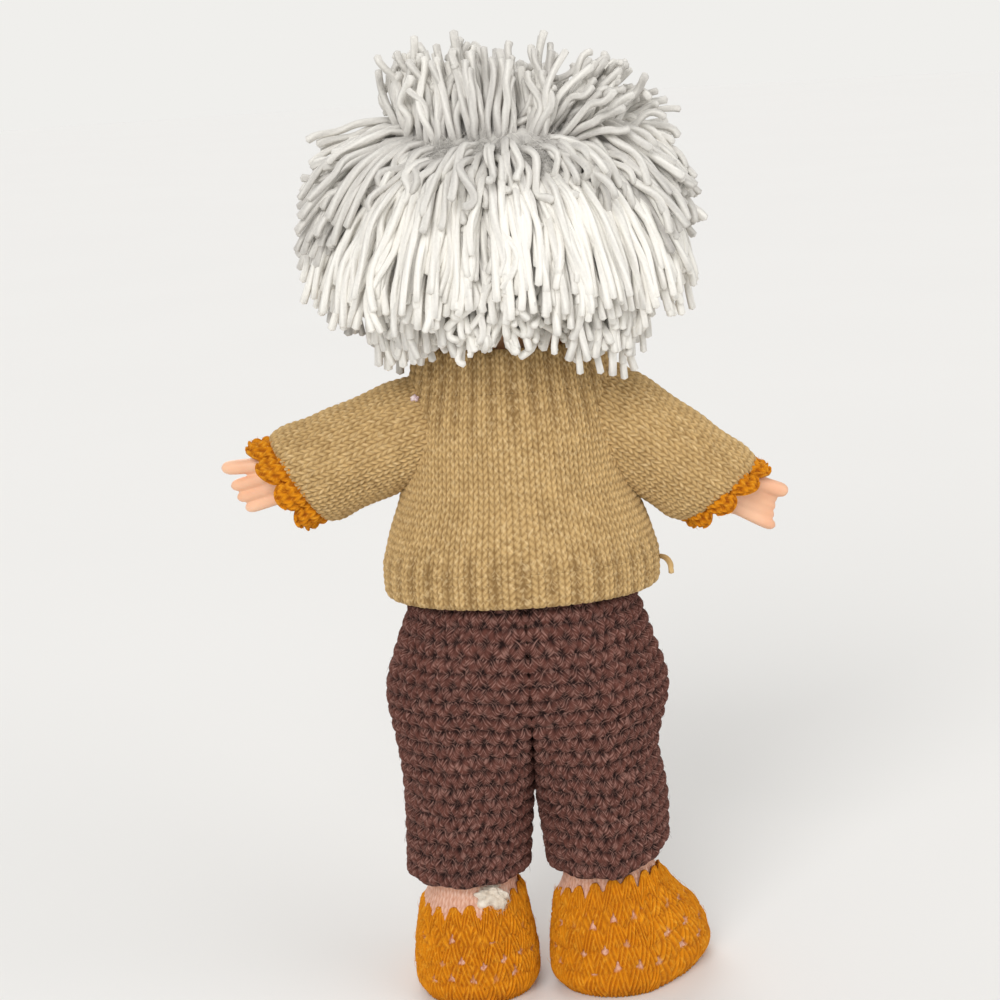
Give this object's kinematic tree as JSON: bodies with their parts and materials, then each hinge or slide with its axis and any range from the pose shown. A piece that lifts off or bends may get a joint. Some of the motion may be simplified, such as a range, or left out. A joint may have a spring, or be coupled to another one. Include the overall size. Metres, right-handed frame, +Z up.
{
  "type": "cloth doll",
  "caption": "Stuffed cloth doll with a mop of yarn hair, knitted sweater, crocheted trousers and socks, and moulded hands; head, arms, hands, legs and feet turn.",
  "frame": {"origin": "on the floor under the middle of the doll's box", "axes": "+Z up, the doll faces -Y and its own left side is towards +X"},
  "size_m": [0.2376, 0.113, 0.4222],
  "materials": {
    "skin": "pink knitted yarn",
    "stuffing": "loose fibre filling",
    "vinyl": "soft moulded vinyl",
    "hair": "white plied yarn",
    "sweater": "tan stocking-stitch knit",
    "trousers": "brown crochet",
    "ochre": "ochre crochet",
    "thread": "sewing thread",
    "bead": "small pale bead"
  },
  "bodies": {
    "torso": {"torso_skin": "skin", "torso_stuffing": "stuffing", "neck_tie": "thread", "sweater_body": "sweater", "sweater_hem": "sweater", "sweater_collar": "sweater", "shoulder_bead": "bead", "hem_yarn_tail": "sweater", "trouser_seat": "trousers"},
    "head": {"head_shell": "vinyl", "head_stuffing": "stuffing", "hair_cap": "hair", "hair_back": "hair", "hair_left": "hair", "hair_right": "hair", "hair_fringe": "hair", "hair_crown": "hair"},
    "arm_left": {"arm_skin_left": "skin", "arm_stuffing_left": "stuffing", "sleeve_left": "sweater", "wrist_tie_left": "thread", "cuff_left": "ochre"},
    "hand_left": {"hand_left": "vinyl"},
    "arm_right": {"arm_skin_right": "skin", "arm_stuffing_right": "stuffing", "sleeve_right": "sweater", "wrist_tie_right": "thread", "cuff_right": "ochre"},
    "hand_right": {"hand_right": "vinyl"},
    "leg_left": {"leg_skin_left": "skin", "leg_stuffing_left": "stuffing", "trouser_leg_left": "trousers"},
    "foot_left": {"foot_skin_left": "skin", "foot_stuffing_left": "stuffing", "sock_left": "ochre", "stuffing_tuft": "stuffing"},
    "leg_right": {"leg_skin_right": "skin", "leg_stuffing_right": "stuffing", "trouser_leg_right": "trousers"},
    "foot_right": {"foot_skin_right": "skin", "foot_stuffing_right": "stuffing", "sock_right": "ochre"}
  },
  "joints": [
    {"name": "neck_turn", "type": "hinge", "parent": "torso", "child": "head", "pos_m": [-0.004, -0.00554, 0.272], "axis": [0, 0, 1], "range_deg": [-60, 60]},
    {"name": "shoulder_left", "type": "hinge", "parent": "torso", "child": "arm_left", "pos_m": [0.037, -0.00554, 0.246], "axis": [0, -1, 0], "range_deg": [-28, 32]},
    {"name": "shoulder_right", "type": "hinge", "parent": "torso", "child": "arm_right", "pos_m": [-0.045, -0.00554, 0.246], "axis": [0, 1, 0], "range_deg": [-10, 50]},
    {"name": "wrist_left", "type": "hinge", "parent": "arm_left", "child": "hand_left", "pos_m": [0.08004, -0.00554, 0.23284], "axis": [0.9563, 0, -0.2924], "range_deg": [-45, 45]},
    {"name": "wrist_right", "type": "hinge", "parent": "arm_right", "child": "hand_right", "pos_m": [-0.08186, -0.00554, 0.22019], "axis": [-0.8192, 0, -0.5736], "range_deg": [-45, 45]},
    {"name": "hip_left", "type": "hinge", "parent": "torso", "child": "leg_left", "pos_m": [0.0238, -0.00554, 0.122], "axis": [-1, 0, 0], "range_deg": [-10, 85]},
    {"name": "hip_right", "type": "hinge", "parent": "torso", "child": "leg_right", "pos_m": [-0.0318, -0.00554, 0.122], "axis": [-1, 0, 0], "range_deg": [-10, 85]},
    {"name": "ankle_left", "type": "hinge", "parent": "leg_left", "child": "foot_left", "pos_m": [0.0238, -0.00554, 0.064], "axis": [0, 0, 1], "range_deg": [-11, 40]},
    {"name": "ankle_right", "type": "hinge", "parent": "leg_right", "child": "foot_right", "pos_m": [-0.0318, -0.00554, 0.064], "axis": [0, 0, -1], "range_deg": [-55, 10]}
  ]
}
